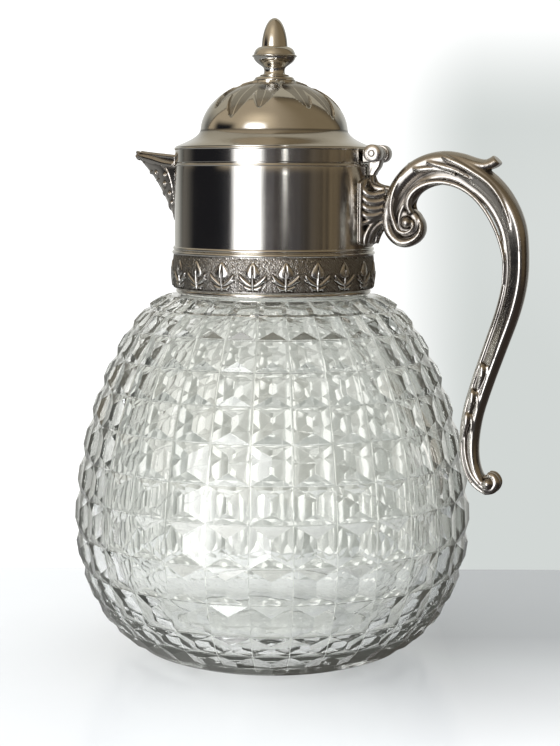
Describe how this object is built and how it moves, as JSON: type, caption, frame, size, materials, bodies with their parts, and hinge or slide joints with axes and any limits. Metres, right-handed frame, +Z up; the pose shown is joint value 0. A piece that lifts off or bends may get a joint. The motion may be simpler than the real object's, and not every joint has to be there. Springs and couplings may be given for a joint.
{
  "type": "lidded water pitcher",
  "caption": "Lidded water pitcher: pressed-glass body in a silver-plated mount with a leaf band, spout, scroll handle and a hinged domed lid with an acorn finial.",
  "frame": {"origin": "centre of the flat base, on the jug's axis, at the level of the surface it stands on", "axes": "+Z up along the jug's axis; +X toward the handle, so the spout points along -X; +Y to the left of the handle seen from behind it"},
  "size_m": [0.1864, 0.1624, 0.2573],
  "materials": {
    "pressed_glass": "clear fire-polished pressed glass with a faint grey-green tint",
    "silver_plate": "polished silver plate with fine wipe marks and a warm, slightly tarnished tone",
    "band_silver": "silver plate, stippled ground with dark tarnish in the recesses and rubbed leaves",
    "cast_silver": "cast and chased silver plate, dark in the grooves and bright on the ridges",
    "steel_pin": "plated pin, dull at the ends",
    "brass_screw": "plain turned brass",
    "cement": "matt white plaster cement"
  },
  "bodies": {
    "jug": {"glass_jug": "pressed_glass", "cement_bed": "cement", "collar_sleeve": "silver_plate", "collar_foot_ring": "silver_plate", "foliate_band": "band_silver", "band_top_moulding": "silver_plate", "collar_rim_wire": "silver_plate", "spout": "cast_silver", "handle_bracket": "cast_silver", "hinge_strap": "cast_silver", "handle": "cast_silver"},
    "lid": {"lid_skirt": "silver_plate", "lid_locating_lip": "silver_plate", "lid_rim_wire": "silver_plate", "lid_dome": "silver_plate", "hinge_ear_front": "cast_silver", "hinge_ear_rear": "cast_silver", "hinge_pin": "steel_pin", "finial_foot": "silver_plate", "finial_knob": "silver_plate", "finial_screw": "brass_screw", "finial_washer": "brass_screw"}
  },
  "joints": [
    {"name": "lid_hinge", "type": "hinge", "parent": "jug", "child": "lid", "pos_m": [0.0437, 0, 0.2034], "axis": [0, 1, 0], "range_deg": [0, 105]}
  ]
}
